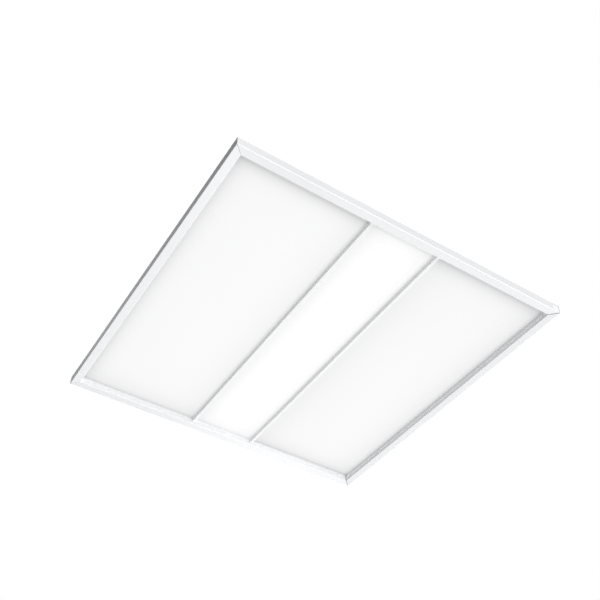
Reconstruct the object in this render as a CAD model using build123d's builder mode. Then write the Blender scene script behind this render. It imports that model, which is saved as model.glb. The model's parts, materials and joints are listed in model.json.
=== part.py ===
from build123d import *
import os

# Surface mount troffer: a folded steel housing that screws to the ceiling, and under it a shallow
# door of four mitred aluminium bars, two divider bars and three opal lenses, which swings down on
# two hinges and is held shut by two slide bolts.
# Frame: millimetres, +Z up, origin at the middle of the face that lies against the ceiling.
# The hinge side is at -Y, called front, and the bolt side is at +Y, called back.

# Overall sizes
overall_width = 600.0
overall_depth = 60.0
sheet = 1.0
bend_radius = 1.6
reflector_sheet = 0.8
reflector_bend = 3.0

# Door frame bar: its section is measured inwards from the outer face and up from the lower face
frame_height = 15.0
face_width = 13.8
face_wall = 1.4
outer_wall = 1.2
inner_wall = 1.2
outer_arris_radius = 1.2
inner_arris_radius = 0.5
inner_step_height = 6.4
inner_step = 0.8
lens_recess = 12.4
lip_wall = 1.0
lip_start = 8.2
mitre_gap = 0.3

# Divider bars and lenses
divider_centre = 62.0
divider_width = 5.4
divider_face_height = 4.4
divider_wall = 1.1
divider_arris_radius = 0.5
rib_width = 1.2
rib_clearance = 0.2
port_wall = 0.9
lens_thickness = 1.5
lens_gap = 0.3
seat_gap = 0.1

# Housing
housing_set_in = 30.0
flange_set_in = 7.5
plate_gap = 0.2
tab_length = 14.0
tab_height = 22.0
tab_drop = 4.0

# Reflectors and the posts that they hang on
side_post = 7.2
driver_air = 3.2
post_flats = 6.0
side_slope = 15.0
centre_slope = 8.0
outer_foot_gap = 0.6
centre_foot_inset = 4.5
centre_lip = 9.0
side_foot_outset = 2.6
foot_gap = 0.2
lens_air = 0.8
reflector_end_gap = 1.0
side_post_from_end = 48.0
centre_post_from_end = 18.0

# Fasteners
pin_radius = 1.2
running_gap = 0.05
screw_radius = 1.5
screw_head_flats = 5.5
hexagon_sides = 6
screw_head_height = 1.8
post_screw_length = 5.0
port_radius = 1.4
divider_screw_length = 14.0

# Corner keys
key_leg = 36.0
key_thickness = 3.0
key_gap = 0.15
key_upstand_wall = 1.5
key_upstand_length = 13.0
key_upstand_rise = 1.7

# Hinges
hinge_from_corner = 100.0
hinge_inset = 4.0
knuckle_radius = 2.3
knuckle_length = 10.0
knuckle_gap = 0.25
knuckles_per_hinge = 3
pin_overhang = 1.0
plate_length = 40.0
plate_margin = 0.5
plate_bend_gap = 5.0
hinge_leg = 1.0
hinge_foot_length = 46.0
hinge_foot_thickness = 1.9
hinge_foot_gap = 0.3
clamp_screw_inset = 5.2
clamp_screw_rise = 1.0

# Slide bolts and their keepers
bolt_from_corner = 100.0
bolt_inset = 4.6
bolt_height = 9.0
bolt_width = 4.0
bolt_depth = 4.2
bolt_length = 40.0
bolt_travel = 8.0
bolt_gap = 0.1
nose_radius = 1.2
nose_start = 6.0
nose_length = 9.0
nose_taper = 0.6
guide_start = 12.0
guide_length = 28.0
guide_wall = 1.2
thumb_start = 22.0
thumb_width = 6.0
thumb_height = 3.0
thumb_recess = 0.3
thumb_gap = 0.5
ear_thickness = 1.2
ear_hole_gap = 0.4
ear_margin = 0.9
arm_width = 10.0

# Lens clips
clip_length = 14.0
clip_wall = 0.8
clip_gap = 0.05
clip_reach = 4.6
clip_hook = 1.0
clip_drop = 3.4
clip_from_corner = 46.0
clip_pitch = 124.0
side_clip_from_corner = 150.0

# Light seal
seal_inset = 17.0
seal_width = 6.0
seal_air = 0.15

# Light boards
board_thickness = 1.6
board_end_gap = 10.0
side_board_width = 22.0
side_board_spacing = 84.0
centre_board_width = 16.0
centre_board_spacing = 40.0
bead_width = 4.0
bead_end_gap = 13.0
bead_height = 0.8
plug_length = 8.0
plug_height = 4.0

# Driver, terminal block and cable bush
driver_width = 40.0
driver_length = 230.0
driver_height = 21.0
driver_place = -70.0
driver_edge = 1.5
driver_ear = 12.0
driver_ear_width = 24.0
terminal_width = 36.0
terminal_length = 18.0
terminal_height = 15.0
terminal_place = 108.0
terminal_chamfer = 1.5
terminal_ways = 3
way_pitch = 10.0
way_width = 4.0
way_depth = 6.0
entry_place = 170.0
bush_bore = 6.0
bush_neck = 11.0
bush_flange = 14.0
bush_flange_thickness = 2.0
bush_length = 9.0

# Ceiling fixing slots
slot_from_end = 90.0
slot_length = 20.0
slot_width = 7.0

# Places that follow from the sizes above
half = overall_width / 2
floor_z = -overall_depth
frame_top_z = floor_z + frame_height
flange_top = frame_height + sheet
plate_top = flange_top + sheet
pan_half = half - housing_set_in
pan_inside = pan_half - sheet
flange_half = half - flange_set_in
opening_half = half - face_width
lens_half = half - lip_start - lens_gap
lens_z = floor_z + lens_recess
lens_top_z = lens_z + lens_thickness
hinge_place = half - hinge_from_corner
hinge_height = plate_top - knuckle_radius
plate_reach = housing_set_in - plate_bend_gap
bolt_place = half - bolt_from_corner
ear_drop = plate_top - bolt_height + nose_radius + ear_hole_gap + ear_margin
lip_underside = lens_recess - lip_wall
foot_bottom = lip_underside - seat_gap - hinge_foot_thickness
channel_end = face_width - inner_wall
divider_mid = (divider_face_height + lens_recess) / 2
centre_foot = divider_centre - centre_foot_inset
side_foot = divider_centre + side_foot_outset
centre_post = driver_height + driver_air
side_flat_top = -sheet - side_post
centre_flat_top = -sheet - centre_post
foot_z = lens_top_z + lens_air + reflector_sheet / 2
reflector_half = pan_inside - reflector_end_gap
side_post_place = reflector_half - side_post_from_end
centre_post_place = reflector_half - centre_post_from_end
board_length = 2 * (reflector_half - board_end_gap)
bead_length = board_length - 2 * bead_end_gap
side_centre = (pan_inside + divider_centre) / 2
slot_spacing_x = 2 * side_centre
slot_spacing_y = 2 * (pan_half - slot_from_end)
end_clip = half - clip_from_corner
inner_clip = end_clip - clip_pitch
side_clip = half - side_clip_from_corner
end_clip_places = (-end_clip, -inner_clip, 0, inner_clip, end_clip)
side_clip_places = (-side_clip, 0, side_clip)
clip_places = {
    "front": end_clip_places,
    "right": side_clip_places,
    "back": end_clip_places,
    "left": side_clip_places,
}

sides = ("front", "right", "back", "left")
inward_ways = {"front": (0, 1), "right": (-1, 0), "back": (0, -1), "left": (1, 0)}
hands = {"left": -1, "right": 1}

os.makedirs("parts", exist_ok=True)


def save(builder, label):
    builder.part.label = label
    export_step(builder.part, f"parts/{label}.step")


def side_plane(side, place=0.0):
    """Across a frame side: x runs inwards from the outer face, y runs up from the lower face."""
    inward_x, inward_y = inward_ways[side]
    origin = (-half * inward_x, -half * inward_y, floor_z)
    plane = Plane(origin=origin, x_dir=(inward_x, inward_y, 0), z_dir=(inward_y, -inward_x, 0))
    return plane.offset(place)


def wall_plane(side, inset):
    """Along a frame side, at a depth from its outer face: y runs up, z points inwards."""
    inward_x, inward_y = inward_ways[side]
    origin = ((inset - half) * inward_x, (inset - half) * inward_y, floor_z)
    return Plane(origin=origin, x_dir=(-inward_y, inward_x, 0), z_dir=(inward_x, inward_y, 0))


def corner_plane(side, height):
    """In plan at the corner where a side starts: x runs along that side, y runs inwards."""
    inward_x, inward_y = inward_ways[side]
    origin = (-half * (inward_x + inward_y), -half * (inward_y - inward_x), floor_z + height)
    return Plane(origin=origin, x_dir=(inward_y, -inward_x, 0), z_dir=(0, 0, 1))


def side_post_places(hand):
    return [(hand * side_centre, y) for y in (-side_post_place, side_post_place)]


def centre_post_places():
    return [(0, y) for y in (-centre_post_place, centre_post_place)]


# Housing: top and side walls from one folded sheet, with out-turned flanges along the sides
def make_housing_body():
    wall = pan_half - sheet / 2
    fold_z = frame_top_z + sheet / 2
    with BuildPart() as housing_body:
        with BuildSketch(Plane.XZ):
            with BuildLine():
                FilletPolyline(
                    (-flange_half, fold_z),
                    (-wall, fold_z),
                    (-wall, -sheet / 2),
                    (wall, -sheet / 2),
                    (wall, fold_z),
                    (flange_half, fold_z),
                    radius=bend_radius,
                )
            trace(line_width=sheet)
        extrude(amount=pan_half, both=True)
        with BuildSketch(Plane.XY):
            with GridLocations(slot_spacing_x, slot_spacing_y, 2, 2):
                SlotOverall(slot_length, slot_width)
            with Locations((0, entry_place)):
                Circle(bush_neck + running_gap)
        extrude(amount=-sheet, mode=Mode.SUBTRACT)
    save(housing_body, "housing_body")


# Each end plate closes the housing between its side walls, with a flange and two welded tabs
def make_end_plate(side):
    outward = -inward_ways[side][1]
    wall = housing_set_in + sheet / 2
    wall_half = pan_inside - plate_gap
    flange_mid = frame_height + sheet / 2
    wing = flange_half - pan_half - plate_gap
    with BuildPart() as end_plate:
        with BuildSketch(side_plane(side)):
            with BuildLine():
                FilletPolyline(
                    (flange_set_in, flange_mid),
                    (wall, flange_mid),
                    (wall, overall_depth - sheet - plate_gap),
                    radius=bend_radius,
                )
            trace(line_width=sheet)
        extrude(amount=wall_half, both=True)
        top_corners = end_plate.edges().filter_by(Axis.Y).group_by(Axis.Z)[-1]
        chamfer(top_corners, length=bend_radius)
        with BuildSketch(Plane.XY.offset(frame_top_z)):
            with Locations((0, outward * (flange_half - wing / 2))):
                Rectangle(2 * flange_half, wing)
        extrude(amount=sheet)
        tab_x = wall_half - sheet / 2
        tab_y = outward * (pan_half - (tab_length + sheet) / 2)
        tab_z = -tab_drop - tab_height / 2
        with Locations((-tab_x, tab_y, tab_z), (tab_x, tab_y, tab_z)):
            Box(sheet, tab_length + sheet, tab_height)
    save(end_plate, f"end_plate_{side}")


# A hexagon head screw along +Z, its head hanging below z = 0 and its shank going up
def make_screw(length, radius=screw_radius):
    with BuildPart() as screw:
        with BuildSketch(Plane.XY):
            RegularPolygon(screw_head_flats / 2, hexagon_sides, major_radius=False)
        extrude(amount=-screw_head_height)
        with BuildSketch(Plane.XY):
            Circle(radius)
        extrude(amount=length)
    return screw.part


def place_copies(label, piece, places):
    with BuildPart() as group:
        with Locations(*places):
            add(piece)
    save(group, label)


# Posts under the housing's top, and the screws that hold the reflectors to them
def make_post(length):
    with BuildPart() as post:
        with BuildSketch(Plane.XY.offset(-sheet)):
            RegularPolygon(post_flats / 2, hexagon_sides, major_radius=False)
            Circle(screw_radius + running_gap, mode=Mode.SUBTRACT)
        extrude(amount=-length)
    return post.part


def make_posts():
    side_places = side_post_places(-1) + side_post_places(1)
    centre_places = centre_post_places()
    place_copies("side_reflector_posts", make_post(side_post), side_places)
    place_copies("centre_reflector_posts", make_post(centre_post), centre_places)
    screw = make_screw(post_screw_length + reflector_sheet)
    side_z = side_flat_top - reflector_sheet
    centre_z = centre_flat_top - reflector_sheet
    places = [(x, y, side_z) for x, y in side_places]
    places += [(x, y, centre_z) for x, y in centre_places]
    place_copies("reflector_screws", screw, places)


# The reflector over each side lens is a folded trough with sloping sides
def make_side_reflector(name, hand):
    flat_z = side_flat_top - reflector_sheet / 2
    inner_z = foot_z + reflector_sheet + foot_gap
    outer_x = pan_inside - outer_foot_gap - reflector_sheet / 2
    with BuildPart() as reflector:
        with BuildSketch(Plane.XZ):
            with BuildLine():
                FilletPolyline(
                    (hand * side_foot, inner_z),
                    (hand * (side_foot + side_slope), flat_z),
                    (hand * (outer_x - side_slope), flat_z),
                    (hand * outer_x, foot_z),
                    radius=reflector_bend,
                )
            trace(line_width=reflector_sheet)
        extrude(amount=reflector_half, both=True)
        with BuildSketch(Plane.XY.offset(side_flat_top)):
            with Locations(*side_post_places(hand)):
                Circle(screw_radius + running_gap)
        extrude(amount=-reflector_sheet, mode=Mode.SUBTRACT)
    save(reflector, f"side_reflector_{name}")


# The centre reflector is deeper, hides the driver, and has a lip that the side troughs stand over
def make_centre_reflector():
    flat_z = centre_flat_top - reflector_sheet / 2
    lip_end = centre_foot + centre_lip
    top_x = centre_foot - centre_slope
    with BuildPart() as reflector:
        with BuildSketch(Plane.XZ):
            with BuildLine():
                FilletPolyline(
                    (-lip_end, foot_z),
                    (-centre_foot, foot_z),
                    (-top_x, flat_z),
                    (top_x, flat_z),
                    (centre_foot, foot_z),
                    (lip_end, foot_z),
                    radius=bend_radius,
                )
            trace(line_width=reflector_sheet)
        extrude(amount=reflector_half, both=True)
        with BuildSketch(Plane.XY.offset(centre_flat_top)):
            with Locations(*centre_post_places()):
                Circle(screw_radius + running_gap)
        extrude(amount=-reflector_sheet, mode=Mode.SUBTRACT)
    save(reflector, "centre_reflector")


# A light board: a strip with a bead of light-giving phosphor and a plug housing at its back end
def make_light_board(label, x, width, flat_z):
    board_z = flat_z - board_thickness
    with BuildPart() as board:
        with BuildSketch(Plane.XY.offset(board_z)):
            with Locations((x, 0)):
                Rectangle(width, board_length)
        extrude(amount=board_thickness)
        with BuildSketch(Plane.XY.offset(board_z)):
            with Locations((x, 0)):
                Rectangle(bead_width, bead_length)
        extrude(amount=-bead_height)
        with BuildSketch(Plane.XY.offset(board_z)):
            with Locations((x, board_length / 2 - plug_length / 2)):
                Rectangle(plug_length, plug_length)
        extrude(amount=-plug_height)
    save(board, label)


def make_light_boards():
    side_z = side_flat_top - reflector_sheet
    centre_z = centre_flat_top - reflector_sheet
    for name, hand in hands.items():
        outer_x = hand * (side_centre + side_board_spacing / 2)
        inner_x = hand * (side_centre - side_board_spacing / 2)
        make_light_board(f"light_board_{name}_outer", outer_x, side_board_width, side_z)
        make_light_board(f"light_board_{name}_inner", inner_x, side_board_width, side_z)
        centre_x = hand * centre_board_spacing / 2
        make_light_board(f"light_board_centre_{name}", centre_x, centre_board_width, centre_z)


# The driver hangs from the housing's top over the centre reflector, on an ear at each end
def make_driver():
    top = -sheet
    ear_y = driver_length + driver_ear
    with BuildPart() as driver:
        with BuildSketch(Plane.XZ.offset(-driver_place)):
            with Locations((0, top - driver_height / 2)):
                Rectangle(driver_width, driver_height)
        extrude(amount=driver_length / 2, both=True)
        chamfer(driver.edges().filter_by(Axis.Y).group_by(Axis.Z)[0], length=driver_edge)
        with BuildSketch(Plane.XY.offset(top)):
            with Locations((0, driver_place)):
                Rectangle(driver_ear_width, driver_length + 2 * driver_ear)
        extrude(amount=-sheet)
        with BuildSketch(Plane.XY.offset(top)):
            with Locations((0, driver_place)):
                with GridLocations(0, ear_y, 1, 2):
                    Circle(screw_radius + running_gap)
        extrude(amount=-sheet, mode=Mode.SUBTRACT)
    save(driver, "led_driver")
    ear_places = [(0, driver_place + step * ear_y / 2, top - sheet) for step in (-1, 1)]
    place_copies("driver_screws", make_screw(sheet), ear_places)


# A terminal block with a row of square push-in wire ways on both long faces
def make_terminal_block():
    with BuildPart() as terminal_block:
        with BuildSketch(Plane.XY.offset(-sheet)):
            with Locations((0, terminal_place)):
                Rectangle(terminal_width, terminal_length)
        extrude(amount=-terminal_height)
        chamfer(terminal_block.edges().filter_by(Axis.X).group_by(Axis.Z)[0], length=terminal_chamfer)
        way_z = -sheet - terminal_height / 2
        for face_y in (terminal_place - terminal_length / 2, terminal_place + terminal_length / 2):
            way = way_depth if face_y > terminal_place else -way_depth
            with BuildSketch(Plane.XZ.offset(-face_y)):
                with Locations((0, way_z)):
                    with GridLocations(way_pitch, 0, terminal_ways, 1):
                        Rectangle(way_width, way_width)
            extrude(amount=way, mode=Mode.SUBTRACT)
    save(terminal_block, "terminal_block")


# The cable bush fills the entry hole from inside and ends flush with the ceiling face
def make_cable_bush():
    with BuildPart() as cable_bush:
        with BuildSketch(Plane.XY):
            with Locations((0, entry_place)):
                Circle(bush_neck)
        extrude(amount=-bush_length)
        with BuildSketch(Plane.XY.offset(-sheet)):
            with Locations((0, entry_place)):
                Circle(bush_flange)
        extrude(amount=-bush_flange_thickness)
        with BuildSketch(Plane.XY):
            with Locations((0, entry_place)):
                Circle(bush_bore)
        extrude(amount=-bush_length, mode=Mode.SUBTRACT)
    save(cable_bush, "cable_bush")


# A foam strip under the housing's flange shuts the light in when the door is closed
def make_door_seal():
    outer = 2 * (half - seal_inset)
    inner = outer - 2 * seal_width
    with BuildPart() as door_seal:
        with BuildSketch(Plane.XY.offset(frame_top_z)):
            Rectangle(outer, outer)
            Rectangle(inner, inner, mode=Mode.SUBTRACT)
        extrude(amount=lens_top_z + seal_air - frame_top_z)
    save(door_seal, "door_seal")


# Each frame bar is one extrusion: face, outer wall, stepped inner wall and the lip for the lenses,
# mitred at both ends. The front and back bars take the divider screws, the back bar the thumb slots.
def make_frame_bar(side):
    with BuildPart() as frame_bar:
        with BuildSketch(side_plane(side)) as section:
            with BuildLine():
                Polyline(
                    (0, 0),
                    (face_width, 0),
                    (face_width, inner_step_height),
                    (face_width + inner_step, inner_step_height),
                    (face_width + inner_step, lens_recess),
                    (lip_start, lens_recess),
                    (lip_start, lip_underside),
                    (channel_end, lip_underside),
                    (channel_end, face_wall),
                    (outer_wall, face_wall),
                    (outer_wall, frame_height),
                    (0, frame_height),
                    close=True,
                )
            make_face()
            fillet(section.vertices().sort_by_distance((0, 0))[0], radius=outer_arris_radius)
            fillet(section.vertices().sort_by_distance((face_width, 0))[0], radius=inner_arris_radius)
        extrude(amount=half, both=True)
        with BuildSketch(corner_plane(side, 0)):
            with BuildLine():
                Polyline(
                    (mitre_gap, 0),
                    (overall_width - mitre_gap, 0),
                    (half + mitre_gap / 2, half - mitre_gap - mitre_gap / 2),
                    (half - mitre_gap / 2, half - mitre_gap - mitre_gap / 2),
                    close=True,
                )
            make_face()
        extrude(amount=frame_height, mode=Mode.INTERSECT)
        if side in ("front", "back"):
            with BuildSketch(wall_plane(side, channel_end)):
                with Locations((-divider_centre, divider_mid), (divider_centre, divider_mid)):
                    Circle(port_radius + 2 * running_gap)
            extrude(amount=inner_wall + inner_step, mode=Mode.SUBTRACT)
        if side == "back":
            slot_x = bolt_place + thumb_start + (thumb_width + bolt_travel) / 2
            with BuildSketch(wall_plane(side, 0)):
                with Locations((-slot_x, bolt_height), (slot_x, bolt_height)):
                    Rectangle(thumb_width + bolt_travel + 2 * thumb_gap, thumb_height + 2 * thumb_gap)
            extrude(amount=outer_wall, mode=Mode.SUBTRACT)
    save(frame_bar, f"frame_bar_{side}")


# A corner key lies in the channels of two bars and stands up behind their outer walls
def make_corner_key(name, side):
    near = outer_wall + key_gap
    far = channel_end - key_gap
    upstand_end = near + key_upstand_length
    with BuildPart() as corner_key:
        with BuildSketch(corner_plane(side, face_wall)):
            with BuildLine():
                Polyline(
                    (near, near),
                    (key_leg, near),
                    (key_leg, far),
                    (far, far),
                    (far, key_leg),
                    (near, key_leg),
                    close=True,
                )
            make_face()
        extrude(amount=key_thickness)
        with BuildSketch(corner_plane(side, face_wall)):
            with BuildLine():
                Polyline(
                    (near, near),
                    (upstand_end, near),
                    (upstand_end, near + key_upstand_wall),
                    (near + key_upstand_wall, near + key_upstand_wall),
                    (near + key_upstand_wall, upstand_end),
                    (near, upstand_end),
                    close=True,
                )
            make_face()
        extrude(amount=frame_height + key_upstand_rise - face_wall)
    save(corner_key, f"corner_key_{name}")


# A divider bar is a hollow extrusion with a screw port, and a rib that parts two lenses. Its ends
# are coped round the step in the frame bars, and its rib runs on over their lips.
def make_divider_bar(name, hand):
    middle = (hand * divider_centre, floor_z + divider_mid)
    depth = lens_recess - divider_face_height
    hollow_width = divider_width - 2 * divider_wall
    hollow_depth = depth - 2 * divider_wall
    bar_half = opening_half - seat_gap
    rib_height = lens_thickness - rib_clearance
    with BuildPart() as divider_bar:
        with BuildSketch(Plane.XZ) as section:
            with Locations(middle):
                Rectangle(divider_width, depth)
            fillet(section.vertices().group_by(Axis.Y)[0], radius=divider_arris_radius)
            with Locations(middle):
                Rectangle(hollow_width, hollow_depth, mode=Mode.SUBTRACT)
                Circle(port_radius + port_wall)
                Rectangle(port_wall, hollow_depth)
                Circle(port_radius, mode=Mode.SUBTRACT)
        extrude(amount=bar_half, both=True)
        cope_height = lens_recess - inner_step_height + seat_gap
        cope_z = floor_z + lens_recess - cope_height / 2
        for end in (-1, 1):
            with Locations((hand * divider_centre, end * (bar_half - inner_step / 2), cope_z)):
                Box(divider_width, inner_step, cope_height, mode=Mode.SUBTRACT)
        with Locations((hand * divider_centre, 0, lens_z + rib_height / 2)):
            Box(rib_width, 2 * lens_half, rib_height)
    save(divider_bar, f"divider_bar_{name}")


# The divider screws go through the frame bars' inner walls from inside the channel
def make_divider_screws():
    screw = make_screw(divider_screw_length, port_radius - running_gap)
    places = []
    for hand in (-1, 1):
        for end in (-1, 1):
            place = (hand * divider_centre, end * (half - channel_end), floor_z + divider_mid)
            places.append(Location(place, (end * 90, 0, 0)))
    place_copies("divider_screws", screw, places)


def make_lens(name, low_x, high_x):
    with BuildPart() as lens:
        with BuildSketch(Plane.XY.offset(lens_z)):
            with Locations(((low_x + high_x) / 2, 0)):
                Rectangle(high_x - low_x, 2 * lens_half)
        extrude(amount=lens_thickness)
    save(lens, f"lens_{name}")


def make_lenses():
    rib_side = rib_width / 2 + lens_gap
    make_lens("left", -lens_half, -divider_centre - rib_side)
    make_lens("centre", -divider_centre + rib_side, divider_centre - rib_side)
    make_lens("right", divider_centre + rib_side, lens_half)


# Spring clips hook under the lip and reach over the lens edges
def make_lens_clips():
    clip_back = lip_start - clip_wall - clip_gap
    clip_top = lens_recess + lens_thickness + clip_gap + clip_wall
    hook_top = lip_underside - clip_gap
    clip_bottom = hook_top - clip_drop / 2
    with BuildPart() as lens_clips:
        for side in sides:
            for place in clip_places[side]:
                with BuildSketch(side_plane(side, place)):
                    with BuildLine():
                        Polyline(
                            (clip_back, clip_bottom),
                            (clip_back + clip_wall + clip_hook, hook_top - clip_hook),
                            (clip_back + clip_wall + clip_hook, hook_top),
                            (clip_back + clip_wall, hook_top),
                            (clip_back + clip_wall, clip_top - clip_wall),
                            (clip_back + clip_reach, clip_top - clip_wall),
                            (clip_back + clip_reach, clip_top),
                            (clip_back, clip_top),
                            close=True,
                        )
                    make_face()
                extrude(amount=clip_length / 2, both=True)
    save(lens_clips, "lens_clips")


# The fixed hinge plate lies on the housing's flange, with the middle knuckle at its outer edge
def make_hinge_plate(name, hand):
    place = hand * hinge_place
    plate_start = flange_set_in + plate_margin
    with BuildPart() as hinge_plate:
        with BuildSketch(side_plane("front", place)):
            with Locations((hinge_inset, hinge_height)):
                Circle(knuckle_radius)
            with Locations(((hinge_inset + plate_reach) / 2, plate_top - sheet / 2)):
                Rectangle(plate_reach - hinge_inset, sheet)
            with Locations((hinge_inset, hinge_height)):
                Circle(pin_radius + running_gap, mode=Mode.SUBTRACT)
        extrude(amount=knuckle_length / 2, both=True)
        with BuildSketch(Plane.XY.offset(floor_z + flange_top)):
            with Locations((place, (plate_start + plate_reach) / 2 - half)):
                Rectangle(plate_length, plate_reach - plate_start)
        extrude(amount=sheet)
    save(hinge_plate, f"hinge_plate_{name}")


# The moving hinge leaf has two knuckles and a foot that is clamped under the front bar's lip
def make_hinge_leaf(name, hand):
    place = hand * hinge_place
    step = knuckle_length + knuckle_gap
    leg_out = hinge_inset - knuckle_radius
    foot_end = channel_end - hinge_foot_gap
    foot_mid = foot_bottom + hinge_foot_thickness / 2
    with BuildPart() as hinge_leaf:
        for offset_x in (-step, step):
            with BuildSketch(side_plane("front", place + offset_x)):
                with Locations((hinge_inset, hinge_height)):
                    Circle(knuckle_radius)
                with Locations((leg_out + hinge_leg / 2, (foot_mid + hinge_height) / 2)):
                    Rectangle(hinge_leg, hinge_height - foot_mid)
                with Locations((hinge_inset, hinge_height)):
                    Circle(pin_radius + running_gap, mode=Mode.SUBTRACT)
            extrude(amount=knuckle_length / 2, both=True)
        with BuildSketch(Plane.XY.offset(floor_z + foot_bottom)):
            with Locations((place, (leg_out + foot_end) / 2 - half)):
                Rectangle(hinge_foot_length, foot_end - leg_out)
            with Locations((place, clamp_screw_inset - half)):
                Circle(screw_radius + running_gap, mode=Mode.SUBTRACT)
        extrude(amount=hinge_foot_thickness)
    save(hinge_leaf, f"hinge_leaf_{name}")


def make_hinge_pin(name, hand):
    pin_half = knuckles_per_hinge * knuckle_length / 2 + knuckle_gap + pin_overhang
    with BuildPart() as hinge_pin:
        with BuildSketch(side_plane("front", hand * hinge_place)):
            with Locations((hinge_inset, hinge_height)):
                Circle(pin_radius)
        extrude(amount=pin_half, both=True)
    save(hinge_pin, f"hinge_pin_{name}")


# Each clamp screw stands on the bar's face wall and jacks the hinge foot up against the lip
def make_clamp_screws():
    top = lip_underside + clamp_screw_rise
    with BuildPart() as clamp_screws:
        with BuildSketch(Plane.XY.offset(floor_z + face_wall)):
            with Locations((0, clamp_screw_inset - half)):
                with GridLocations(2 * hinge_place, 0, 2, 1):
                    Circle(screw_radius)
        extrude(amount=top - face_wall)
    save(clamp_screws, "hinge_clamp_screws")


# The keeper plate lies on the housing's flange, with an ear that hangs into the back bar's channel
def make_keeper(name, hand):
    plate_start = flange_set_in + plate_margin
    ear_x = hand * (bolt_place + ear_thickness / 2)
    ear_width = bolt_width
    arm_start = bolt_inset - ear_width / 2
    with BuildPart() as keeper:
        with BuildSketch(Plane.XY.offset(floor_z + flange_top)):
            with Locations((hand * bolt_place, half - (plate_start + plate_reach) / 2)):
                Rectangle(plate_length, plate_reach - plate_start)
            with Locations((hand * (bolt_place + arm_width / 2), half - (arm_start + plate_reach) / 2)):
                Rectangle(arm_width, plate_reach - arm_start)
        extrude(amount=sheet)
        with BuildSketch(side_plane("back", -ear_x)):
            with Locations((bolt_inset, plate_top - ear_drop / 2)):
                Rectangle(ear_width, ear_drop)
            with Locations((bolt_inset, bolt_height)):
                Circle(nose_radius + ear_hole_gap, mode=Mode.SUBTRACT)
        extrude(amount=ear_thickness / 2, both=True)
    save(keeper, f"bolt_keeper_{name}")


# The slide bolt: a square slide with a round nose, and a thumb piece in the back bar's slot
def make_slide_bolt(name, hand):
    slide_start = bolt_place + nose_start
    nose_tip = slide_start - nose_length
    thumb_end = bolt_inset - bolt_width / 2 + bolt_gap
    with BuildPart() as slide_bolt:
        with BuildSketch(side_plane("back", -hand * slide_start)):
            with Locations((bolt_inset, bolt_height)):
                Rectangle(bolt_width, bolt_depth)
        extrude(amount=-hand * bolt_length)
        with BuildSketch(side_plane("back", -hand * slide_start)):
            with Locations((bolt_inset, bolt_height)):
                Circle(nose_radius)
        extrude(amount=hand * nose_length)
        tip_edges = slide_bolt.edges().filter_by(GeomType.CIRCLE).sort_by(Axis.X)
        chamfer(tip_edges[0 if hand > 0 else -1], length=nose_taper)
        with BuildSketch(side_plane("back", -hand * (bolt_place + thumb_start))):
            with Locations(((thumb_recess + thumb_end) / 2, bolt_height)):
                Rectangle(thumb_end - thumb_recess, thumb_height)
        extrude(amount=-hand * thumb_width)
    print("bolt nose reaches past its keeper by", bolt_place - nose_tip)
    save(slide_bolt, f"slide_bolt_{name}")


# The guide fills the back bar's channel and is trapped under its lip
def make_bolt_guide(name, hand):
    guide_out = outer_wall + key_gap
    guide_in = lip_start - key_gap
    foot_end = channel_end - key_gap
    foot_top = bolt_height - bolt_depth / 2 - guide_wall
    guide_top = bolt_height + bolt_depth / 2 + guide_wall
    with BuildPart() as bolt_guide:
        with BuildSketch(side_plane("back", -hand * (bolt_place + guide_start))):
            with Locations(((guide_out + guide_in) / 2, (face_wall + guide_top) / 2)):
                Rectangle(guide_in - guide_out, guide_top - face_wall)
            with Locations(((guide_out + foot_end) / 2, (face_wall + foot_top) / 2)):
                Rectangle(foot_end - guide_out, foot_top - face_wall)
            with Locations((bolt_inset, bolt_height)):
                Rectangle(bolt_width + 2 * bolt_gap, bolt_depth + 2 * bolt_gap, mode=Mode.SUBTRACT)
        extrude(amount=-hand * guide_length)
        slot_x = hand * (bolt_place + thumb_start + (thumb_width + bolt_travel) / 2)
        with BuildSketch(wall_plane("back", guide_out)):
            with Locations((slot_x, bolt_height)):
                Rectangle(thumb_width + bolt_travel + 2 * thumb_gap, thumb_height + 2 * thumb_gap)
        extrude(amount=bolt_inset - guide_out, mode=Mode.SUBTRACT)
    save(bolt_guide, f"bolt_guide_{name}")


make_housing_body()
make_end_plate("front")
make_end_plate("back")
make_posts()
make_centre_reflector()
make_light_boards()
make_driver()
make_terminal_block()
make_cable_bush()
make_door_seal()
for side_name, corner_name in zip(sides, ("front_left", "front_right", "back_right", "back_left")):
    make_frame_bar(side_name)
    make_corner_key(corner_name, side_name)
make_divider_screws()
make_lenses()
make_lens_clips()
make_clamp_screws()
for hand_name, hand_sign in hands.items():
    make_side_reflector(hand_name, hand_sign)
    make_divider_bar(hand_name, hand_sign)
    make_hinge_plate(hand_name, hand_sign)
    make_hinge_leaf(hand_name, hand_sign)
    make_hinge_pin(hand_name, hand_sign)
    make_keeper(hand_name, hand_sign)
    make_slide_bolt(hand_name, hand_sign)
    make_bolt_guide(hand_name, hand_sign)
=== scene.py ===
"""Looks of the surface mount troffer: painted door frame, glowing opal lenses, and the parts behind them."""

import json

import bpy
from mathutils import Matrix, Vector


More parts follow.
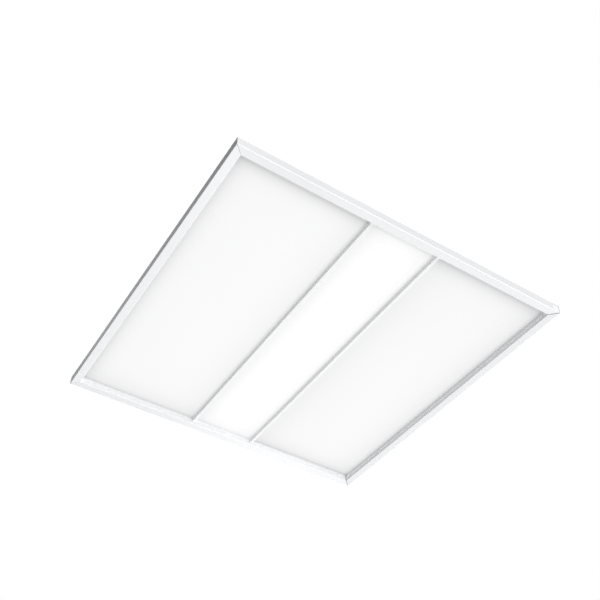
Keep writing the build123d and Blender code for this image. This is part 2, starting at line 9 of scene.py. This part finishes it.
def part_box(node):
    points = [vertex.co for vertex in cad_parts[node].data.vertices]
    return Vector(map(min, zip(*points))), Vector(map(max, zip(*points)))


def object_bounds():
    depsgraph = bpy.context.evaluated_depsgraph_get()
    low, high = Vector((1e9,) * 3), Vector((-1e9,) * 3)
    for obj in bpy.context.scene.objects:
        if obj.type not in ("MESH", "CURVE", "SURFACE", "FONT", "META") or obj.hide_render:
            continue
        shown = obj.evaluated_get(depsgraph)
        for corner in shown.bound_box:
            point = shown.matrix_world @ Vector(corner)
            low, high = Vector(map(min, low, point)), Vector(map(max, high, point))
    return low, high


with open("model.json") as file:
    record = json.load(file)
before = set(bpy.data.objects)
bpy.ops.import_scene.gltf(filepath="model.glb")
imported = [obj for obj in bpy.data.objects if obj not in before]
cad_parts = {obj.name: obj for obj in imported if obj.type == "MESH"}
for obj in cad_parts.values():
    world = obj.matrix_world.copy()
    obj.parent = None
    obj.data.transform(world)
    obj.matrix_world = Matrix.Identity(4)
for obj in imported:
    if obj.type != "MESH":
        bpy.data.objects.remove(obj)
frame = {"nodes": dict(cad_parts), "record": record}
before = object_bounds()
nodes = frame["nodes"]
scene = bpy.context.scene

# Places on the door, in metres, that the masks of paint and light refer to. Depths are measured
# inwards from the frame's outer faces, and heights up from its lower face.
lower_face = before[0][2]
outer_face = before[1][0]
outer_wall_depth = 0.0010
inner_wall_depth = 0.0137
lens_edge_depth = 0.0146
divider_centre = 0.0620
divider_half_width = 0.0027
divider_arris_height = 0.0048

# Light boards
board_thickness = 0.0016
bead_half_width = 0.00205
bead_from_end = 0.0125
bead_skin = 0.0001

floor_height = -2.2
floor_size = 40

# Paint of the door's pieces
frame_white = (0.80, 0.805, 0.815)
# Painted light and shade: the left bar's white is painted lighter and the right bar's darker than the front
# and back bars' white, as lit and shaded copies of one paint.
left_white_painted_lighter = (0.86, 0.865, 0.88)
right_white_painted_darker = (0.735, 0.74, 0.75)
divider_white = (0.84, 0.845, 0.85)
# Painted shade: the corner keys are painted dark grey to stand in for the shade on them in the channel and at
# the mitres.
key_shade_grey = (0.22, 0.22, 0.23)
bar_roughness = 0.5
key_roughness = 0.7


class Graph:
    """A small helper that fills a material's or a world's node tree and joins its sockets."""

    def __init__(self, owner):
        self.owner = owner
        owner.use_nodes = True
        self.tree = owner.node_tree
        self.tree.nodes.clear()

    def put(self, value, socket):
        """Links an output to the socket, or sets a plain value on it."""
        if hasattr(value, "is_output"):
            self.tree.links.new(value, socket)
        else:
            socket.default_value = value

    def add(self, kind, inputs=None, **settings):
        node = self.tree.nodes.new(kind)
        for key, value in settings.items():
            setattr(node, key, value)
        for key, value in (inputs or {}).items():
            self.put(value, node.inputs[key])
        return node

    def math(self, operation, *values):
        node = self.add("ShaderNodeMath", operation=operation)
        for index, value in enumerate(values):
            self.put(value, node.inputs[index])
        return node.outputs[0]

    def place(self):
        return self.add("ShaderNodeTexCoord").outputs["Object"]

    def noise(self, place, scale, detail, roughness=0.5):
        inputs = {"Vector": place, "Scale": scale, "Detail": detail, "Roughness": roughness}
        return self.add("ShaderNodeTexNoise", inputs).outputs["Fac"]

    def blend(self, value, low, high):
        """One colour at the low end of a noise, another at its high end."""
        node = self.add("ShaderNodeValToRGB", {"Fac": value})
        for element, position, colour in zip(node.color_ramp.elements, (0.3, 0.7), (low, high)):
            element.position = position
            element.color = (*colour, 1)
        return node.outputs["Color"]

    def mottled(self, value, colour, spread):
        """The colour, a little darker and lighter with the noise."""
        low = [max(0.0, c - spread) for c in colour]
        high = [min(1.0, c + spread) for c in colour]
        return self.blend(value, low, high)

    def varied(self, value, middle, swing):
        """A number that a noise moves by the swing, half of it to each side of the middle."""
        return self.math("MULTIPLY_ADD", value, swing, middle - swing / 2)

    def bump(self, value, strength, distance):
        inputs = {"Height": value, "Strength": strength, "Distance": distance}
        return self.add("ShaderNodeBump", inputs).outputs["Normal"]

    def seen_straight(self):
        """1 where the camera sees it by itself, in a gloss or through glass, and 0 for other rays."""
        rays = self.add("ShaderNodeLightPath").outputs
        seen = self.math("MAXIMUM", rays["Is Camera Ray"], rays["Is Glossy Ray"])
        return self.math("MAXIMUM", seen, rays["Is Transmission Ray"])

    def mix(self, share, first, second):
        """The first shader where the share is 0, and the second where it is 1."""
        return self.add("ShaderNodeMixShader", {0: share, 1: first.outputs[0], 2: second.outputs[0]})

    def finish(self, shader, kind="Material"):
        out = self.add(f"ShaderNodeOutput{kind}")
        self.tree.links.new(shader.outputs[0], out.inputs["Surface"])
        return self.owner


def new_graph(name):
    """A graph for a new material. No glow is sampled as a lamp, which keeps the grain down."""
    material = bpy.data.materials.new(name)
    material.cycles.emission_sampling = "NONE"
    return Graph(material)


def painted(name, colour, roughness, lit=(), sheen=(), dim=()):
    """Powder coat: a fine orange-peel texture and faint, wide changes of tone, with painted light and shade
    on top.
    lit: (planes, amount), painted light: a glow added where the paint is past all those (axis, place, sense)
    planes, standing in for the light of the glowing lenses on the walls beside them and for highlights on the
    rounded outer edges.
    sheen: (axis, place, reach, amount, planes), a painted sheen: a stretch along the bar painted lighter, or
    darker where the amount is below 0.
    dim: (planes, amount), painted shade: where the paint is darker, such as in the mitre gaps."""
    g = new_graph(name)
    place = g.place()
    split = g.add("ShaderNodeSeparateXYZ", {"Vector": place})
    axes = {axis: split.outputs[axis] for axis in "XYZ"}
    off_mitre = g.math("SUBTRACT", g.math("ABSOLUTE", axes["X"]), g.math("ABSOLUTE", axes["Y"]))
    axes["MITRE"] = g.math("ABSOLUTE", off_mitre)

    def past(planes, amount):
        for axis, at, sense in planes:
            beyond = g.math("MULTIPLY_ADD", axes[axis], sense, -sense * at)
            amount = g.math("MULTIPLY", g.math("GREATER_THAN", beyond, 0.0), amount)
        return amount

    peel = g.noise(place, scale=900.0, detail=3.0, roughness=0.55)
    wide = g.noise(place, scale=9.0, detail=2.0)
    tone = g.mottled(wide, colour, spread=0.012)
    glow = 0.0
    for planes, amount in lit:
        glow = g.math("ADD", past(planes, amount), glow)
    for axis, at, reach, amount, planes in sheen:
        away = g.math("MULTIPLY_ADD", axes[axis], 1.0 / reach, -at / reach)
        bell = g.math("EXPONENT", g.math("MULTIPLY", g.math("MULTIPLY", away, away), -1.0))
        glow = g.math("MULTIPLY_ADD", bell, past(planes, amount), glow)
    for planes, amount in dim:
        kept = g.math("SUBTRACT", 1.0, past(planes, amount))
        tone = g.add("ShaderNodeVectorMath", {0: tone, "Scale": kept}, operation="SCALE").outputs["Vector"]
        glow = g.math("MULTIPLY", glow, kept)
    shader = g.add(
        "ShaderNodeBsdfPrincipled",
        {
            "Base Color": tone,
            "Roughness": g.varied(peel, roughness, swing=0.12),
            "Normal": g.bump(peel, strength=0.35, distance=0.00001),
            "Specular IOR Level": 0.4,
            "Emission Color": (0.98, 0.99, 1.0, 1),
            "Emission Strength": glow,
        },
    )
    return g.finish(shader)


def metal(name, colour, roughness):
    """Zinc plated or spring steel with a grain drawn along X and cloudy changes of tone."""
    g = new_graph(name)
    place = g.place()
    stretched = g.add("ShaderNodeMapping", {"Vector": place, "Scale": (40.0, 900.0, 900.0)})
    grain = g.noise(stretched.outputs[0], scale=1.0, detail=3.0)
    cloud = g.noise(place, scale=120.0, detail=3.0)
    shader = g.add(
        "ShaderNodeBsdfPrincipled",
        {
            "Base Color": g.mottled(cloud, colour, spread=0.04),
            "Roughness": g.varied(grain, roughness, swing=0.18),
            "Metallic": 1.0,
            "Normal": g.bump(grain, strength=0.2, distance=0.00003),
        },
    )
    return g.finish(shader)


def plastic(name, colour, roughness, spread=0.02, grain=500.0):
    """Moulded plastic, rubber or foam with a fine grain."""
    g = new_graph(name)
    fine = g.noise(g.place(), scale=grain, detail=2.0)
    shader = g.add(
        "ShaderNodeBsdfPrincipled",
        {
            "Base Color": g.mottled(fine, colour, spread),
            "Roughness": g.varied(fine, roughness, swing=0.1),
            "Normal": g.bump(fine, strength=0.3, distance=0.00005),
        },
    )
    return g.finish(shader)


def opal(name, middle_glow, edges):
    """Opal sheet lit from behind: the glow falls off towards each edge of its own pane, partly as its own
    fall-off and partly as painted shade from the frame and dividers.
    edges: (plane, loss, start, reach), the loss of light at start from the edge and how far in it reaches."""
    g = new_graph(name)
    place = g.place()
    split = g.add("ShaderNodeSeparateXYZ", {"Vector": place})
    cloud = g.noise(place, scale=5.0, detail=1.0)
    glow = g.varied(cloud, middle_glow, swing=0.012 * middle_glow)
    for (axis, at, sense), loss, start, reach in edges:
        inside = g.math("MULTIPLY_ADD", split.outputs[axis], sense, -sense * at - start)
        inside = g.math("MAXIMUM", inside, 0.0)
        nearness = g.math("EXPONENT", g.math("MULTIPLY", inside, -1.0 / reach))
        glow = g.math("MULTIPLY", glow, g.math("MULTIPLY_ADD", nearness, -loss, 1.0))
    fine = g.noise(place, scale=1400.0, detail=2.0)
    shader = g.add(
        "ShaderNodeBsdfPrincipled",
        {
            "Base Color": (0.32, 0.32, 0.319, 1),
            "Roughness": g.varied(fine, 0.55, swing=0.1),
            "Normal": g.bump(fine, strength=0.15, distance=0.00003),
            "Emission Color": (0.996, 0.997, 0.998, 1),
            "Emission Strength": glow,
            "Specular IOR Level": 0.3,
        },
    )
    return g.finish(shader)


def board(name, node):
    """White solder mask with a glowing bead along the middle of the strip's underside."""
    low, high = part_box(node)
    middle = (low[0] + high[0]) / 2
    underside = high[2] - board_thickness
    g = new_graph(name)
    place = g.place()
    split = g.add("ShaderNodeSeparateXYZ", {"Vector": place})
    across = g.math("ABSOLUTE", g.math("SUBTRACT", split.outputs["X"], middle))
    along = g.math("ABSOLUTE", split.outputs["Y"])
    bead = g.math("LESS_THAN", split.outputs["Z"], underside - bead_skin)
    bead = g.math("MULTIPLY", bead, g.math("LESS_THAN", across, bead_half_width))
    bead = g.math("MULTIPLY", bead, g.math("LESS_THAN", along, high[1] - bead_from_end))
    fine = g.noise(place, scale=300.0, detail=2.0)
    mask = g.blend(fine, (0.84, 0.85, 0.83), (0.89, 0.90, 0.88))
    phosphor = g.blend(fine, (0.86, 0.74, 0.30), (0.90, 0.80, 0.38))
    tone = g.add("ShaderNodeMix", {0: bead, 6: mask, 7: phosphor}, data_type="RGBA").outputs[2]
    shader = g.add(
        "ShaderNodeBsdfPrincipled",
        {
            "Base Color": tone,
            "Roughness": 0.45,
            "Normal": g.bump(fine, strength=0.2, distance=0.00003),
            "Emission Color": (1.0, 0.97, 0.9, 1),
            "Emission Strength": g.math("MULTIPLY", bead, 1.2),
        },
    )
    return g.finish(shader)


# Planes that bound a mask: (axis, place, sense), where sense is the way that is past the plane.
# A bar's side is -1 or 1: the front bar lies at Y -1, the back bar at Y 1.
def inwards(axis, side, depth):
    return axis, side * (outer_face - depth), -side


def outwards(axis, side, depth):
    return axis, side * (outer_face - depth), side


def over(height):
    return "Z", lower_face + height, 1


def under(height):
    return "Z", lower_face + height, -1


# Within 1.1 mm of a mitre: the band where painted shade stands in for the dark mitre gaps.
mitre_shade_band = ("MITRE", 0.0011, -1)
left_end = ("X", -0.2, -1)
right_end = ("X", 0.2, 1)
front_end = ("Y", -0.2, -1)
back_end = ("Y", 0.2, 1)


def front_bar():
    inner = inwards("Y", -1, inner_wall_depth)
    outer = outwards("Y", -1, outer_wall_depth)
    inner_arris = [inwards("Y", -1, 0.0130), under(0.0006)]
    outer_arris = [outer, under(0.0010)]
    end_cap = [outer, outwards("X", 1, 0.0135)]
    cap_side = [outer, outwards("X", 1, 0.0015), over(0.0020)]
    # Painted light on the front bar: a glow on the inner wall for the light of the lenses, painted highlights
    # on both arrises and on the corner cap, and stretches painted lighter at the left end and darker to the
    # right. Painted shade darkens the mitres, the top of the corner cap and a thin line along its side.
    return painted(
        "paint_front",
        frame_white,
        bar_roughness,
        lit=[([inner], 0.085), (inner_arris, 0.08), (outer_arris, 0.06), ([*end_cap, over(0.0010)], 0.12)],
        sheen=[("X", -0.32, 0.12, 0.06, []), ("X", 0.20, 0.15, -0.03, [])],
        dim=[
            ([mitre_shade_band, right_end], 0.62),
            ([mitre_shade_band, left_end], 0.05),
            ([*end_cap, over(0.0135)], 0.4),
            (cap_side, 0.4),
        ],
    )


def back_bar():
    inner = inwards("Y", 1, inner_wall_depth)
    low_band = [inner, under(0.0106)]
    top_band = [inner, over(0.0106)]
    between_dividers = [("X", -0.06, 1), ("X", 0.06, -1)]
    inner_arris = [inwards("Y", 1, 0.0134), under(0.0005)]
    # Painted light on the back bar: a glow on the lower inner wall and, between the dividers, on its top band
    # for the light of the lenses, a painted highlight on the inner arris, and a painted sheen in the middle
    # of the face and near the left end. Painted shade darkens the right mitre and the top band of the inner
    # wall beside the lenses.
    return painted(
        "paint_back",
        frame_white,
        bar_roughness,
        lit=[
            (low_band, 0.045),
            ([*low_band, ("X", -0.06, -1)], 0.03),
            ([*top_band, *between_dividers], 0.06),
            (inner_arris, 0.08),
        ],
        sheen=[("X", 0.09, 0.15, 0.06, []), ("X", -0.27, 0.12, 0.02, [])],
        dim=[([mitre_shade_band, right_end], 0.28), (top_band, 0.06)],
    )


def left_bar():
    inner = inwards("X", -1, inner_wall_depth)
    outer = outwards("X", -1, outer_wall_depth)
    face = inwards("X", -1, outer_wall_depth)
    inner_arris = [inwards("X", -1, 0.0122), under(0.0006)]
    # Painted light on the left bar: a glow on the inner wall for the light of the lenses, a painted highlight
    # on the inner arris, the outer wall painted lighter towards the back and darker at the front end, and the
    # face painted lighter near the front. Painted shade darkens the front mitre.
    return painted(
        "paint_left",
        left_white_painted_lighter,
        bar_roughness,
        lit=[([inner], 0.05), (inner_arris, 0.05)],
        sheen=[
            ("Y", 0.15, 0.16, 0.05, [outer]),
            ("Y", -0.30, 0.10, -0.04, [outer]),
            ("Y", -0.25, 0.15, 0.03, [face]),
        ],
        dim=[([mitre_shade_band, front_end], 0.05)],
    )


def right_bar():
    inner = inwards("X", 1, inner_wall_depth)
    step_line = [inner, over(0.0054), under(0.0069)]
    inner_arris = [inwards("X", 1, 0.0132), under(0.0008)]
    # Painted light on the right bar: a glow on the inner wall for the light of the lenses and a painted
    # highlight line under the step. Painted shade darkens both mitres and the inner arris.
    return painted(
        "paint_right",
        right_white_painted_darker,
        bar_roughness,
        lit=[([inner], 0.105), (step_line, 0.06)],
        dim=[([mitre_shade_band, front_end], 0.62), ([mitre_shade_band, back_end], 0.28), (inner_arris, 0.2)],
    )


def divider(side, glow):
    # Painted light: the divider's sides, above its lower arris, glow as if lit by the lenses beside them.
    lit = [([over(divider_arris_height)], glow)]
    return painted(f"paint_divider_{side}", divider_white, bar_roughness, lit=lit)


def panes():
    """The three lenses. Each edge of a pane lies at an inner wall of the frame or at a side of a divider."""
    left = inwards("X", -1, lens_edge_depth)
    right = inwards("X", 1, lens_edge_depth)
    front = inwards("Y", -1, lens_edge_depth)
    back = inwards("Y", 1, lens_edge_depth)
    far_side = divider_centre + divider_half_width
    near_side = divider_centre - divider_half_width
    # The short losses, reaching about 1 mm, are painted shade: a thin dark line where a pane meets the frame.
    left_edges = [
        (left, 0.335, 0.006, 0.0110),
        (left, 0.050, 0.006, 0.0012),
        (("X", -far_side, -1), 0.155, 0.004, 0.0220),
        (front, 0.446, 0.0105, 0.0068),
        (front, 0.060, 0.0105, 0.0010),
        (back, 0.305, 0.003, 0.0200),
    ]
    centre_edges = [
        (("X", -near_side, 1), 0.220, 0.0065, 0.0156),
        (("X", near_side, -1), 0.155, 0.004, 0.0185),
        (front, 0.210, 0.0105, 0.0036),
        (front, 0.060, 0.0105, 0.0012),
        (back, 0.222, 0.003, 0.0175),
    ]
    right_edges = [
        (("X", far_side, 1), 0.168, 0.0065, 0.0240),
        (right, 0.265, 0.003, 0.0220),
        (front, 0.425, 0.0105, 0.0077),
        (front, 0.060, 0.0105, 0.0010),
        (back, 0.385, 0.003, 0.0154),
    ]
    return {
        "lens_left": opal("opal_left", 0.593, left_edges),
        "lens_centre": opal("opal_centre", 0.655, centre_edges),
        "lens_right": opal("opal_right", 0.563, right_edges),
    }


# Materials on the record's slots
looks = {
    "white_aluminium": painted("white_aluminium", frame_white, 0.42),
    "white_steel": painted("white_steel", (0.80, 0.80, 0.80), 0.5),
    "reflector_white": painted("reflector_white", (0.80, 0.80, 0.80), 0.6),
    "driver_case": painted("driver_case", (0.72, 0.73, 0.74), 0.5),
    "terminal_plastic": plastic("terminal_plastic", (0.72, 0.72, 0.69), 0.5),
    "bush_rubber": plastic("bush_rubber", (0.05, 0.05, 0.05), 0.75),
    "seal_foam": plastic("seal_foam", (0.8, 0.8, 0.8), 0.9, spread=0.05, grain=900.0),
    "guide_nylon": plastic("guide_nylon", (0.74, 0.74, 0.71), 0.45),
    "zinc_steel": metal("zinc_steel", (0.6, 0.61, 0.63), 0.38),
    "spring_steel": metal("spring_steel", (0.45, 0.46, 0.48), 0.32),
}

# Closer materials for the pieces with painted light and shade of their own
closer = {
    "frame_bar_front": front_bar(),
    "frame_bar_back": back_bar(),
    "frame_bar_left": left_bar(),
    "frame_bar_right": right_bar(),
    "divider_bar_left": divider("left", 0.09),
    "divider_bar_right": divider("right", 0.10),
    **panes(),
}
# The corner keys get the dark grey painted shade.
for corner in ("front_left", "front_right", "back_left", "back_right"):
    closer[f"corner_key_{corner}"] = painted(f"shade_key_{corner}", key_shade_grey, key_roughness)

slot_of = {entry["node"]: entry["material_slot"] for entry in frame["record"]["subparts"]}
for name, slot in slot_of.items():
    if slot == "light_board":
        closer[name] = board(f"paint_{name}", name)

for name, piece in nodes.items():
    piece.data.materials.clear()
    piece.data.materials.append(closer.get(name) or looks[slot_of[name]])


def make_floor():
    """A plain pale floor. Only rays that show it see it lifted to white: other rays get a soft bounce."""
    bpy.ops.mesh.primitive_plane_add(size=floor_size, location=(0, 0, floor_height))
    ground = bpy.context.object
    ground.name = "ground"
    g = new_graph("pale_floor")
    mottle = g.noise(g.place(), scale=1.5, detail=2.0)
    pale = g.blend(mottle, (0.78, 0.78, 0.78), (0.8, 0.8, 0.8))
    matt = g.add("ShaderNodeBsdfDiffuse", {"Color": pale})
    lift = g.add("ShaderNodeEmission", {"Color": (1, 1, 1, 1), "Strength": 0.4})
    shown = g.add("ShaderNodeAddShader", {0: matt.outputs[0], 1: lift.outputs[0]})
    bounce = g.add("ShaderNodeBsdfDiffuse", {"Color": (0.44, 0.44, 0.44, 1)})
    ground.data.materials.append(g.finish(g.mix(g.seen_straight(), bounce, shown)))


def make_world():
    """A white backdrop that lights the object only softly."""
    g = Graph(bpy.data.worlds.new("studio"))
    soft = g.add("ShaderNodeBackground", {"Color": (0.96, 0.98, 1.0, 1), "Strength": 0.22})
    white = g.add("ShaderNodeBackground", {"Color": (1, 1, 1, 1), "Strength": 1.0})
    scene.world = g.finish(g.mix(g.seen_straight(), soft, white), "World")


def make_lamp(name, place, target, size, watts):
    """A square area lamp that shines at the target and isn't seen itself."""
    data = bpy.data.lights.new(name, "AREA")
    data.shape = "SQUARE"
    data.size = size
    data.energy = watts
    piece = bpy.data.objects.new(name, data)
    scene.collection.objects.link(piece)
    piece.location = place
    piece.rotation_euler = (Vector(target) - Vector(place)).to_track_quat("-Z", "Y").to_euler()
    piece.visible_camera = False


def make_camera(place, image_right, image_down):
    """The camera, from its place and from the ways that run right and down in its picture."""
    data = bpy.data.cameras.new("camera")
    data.lens = 50.0
    data.sensor_width = 36.0
    data.sensor_fit = "HORIZONTAL"
    camera = bpy.data.objects.new("camera", data)
    scene.collection.objects.link(camera)
    right = Vector(image_right).normalized()
    ahead = right.cross(Vector(image_down).normalized()).normalized()
    down = ahead.cross(right)
    turn = Matrix((right, -down, -ahead)).transposed()
    camera.matrix_world = Matrix.Translation(place) @ turn.to_4x4()
    scene.camera = camera


make_floor()
make_world()
make_lamp("under_lamp", (0.4, 0.3, -2.1), target=(0, 0, 0), size=2.4, watts=67.0)
make_lamp("front_lamp", (0.3, -2.4, -0.5), target=(0, 0, -0.05), size=1.4, watts=45.5)
make_lamp("back_lamp", (1.6, 1.9, 1.7), target=(0, 0, 0), size=1.8, watts=89.0)
make_camera(
    place=(-0.56724, -0.8848, -1.00702),
    image_right=(0.84274, -0.5383, 0.00486),
    image_down=(0.38646, 0.59868, -0.70159),
)

scene.view_settings.view_transform = "Standard"
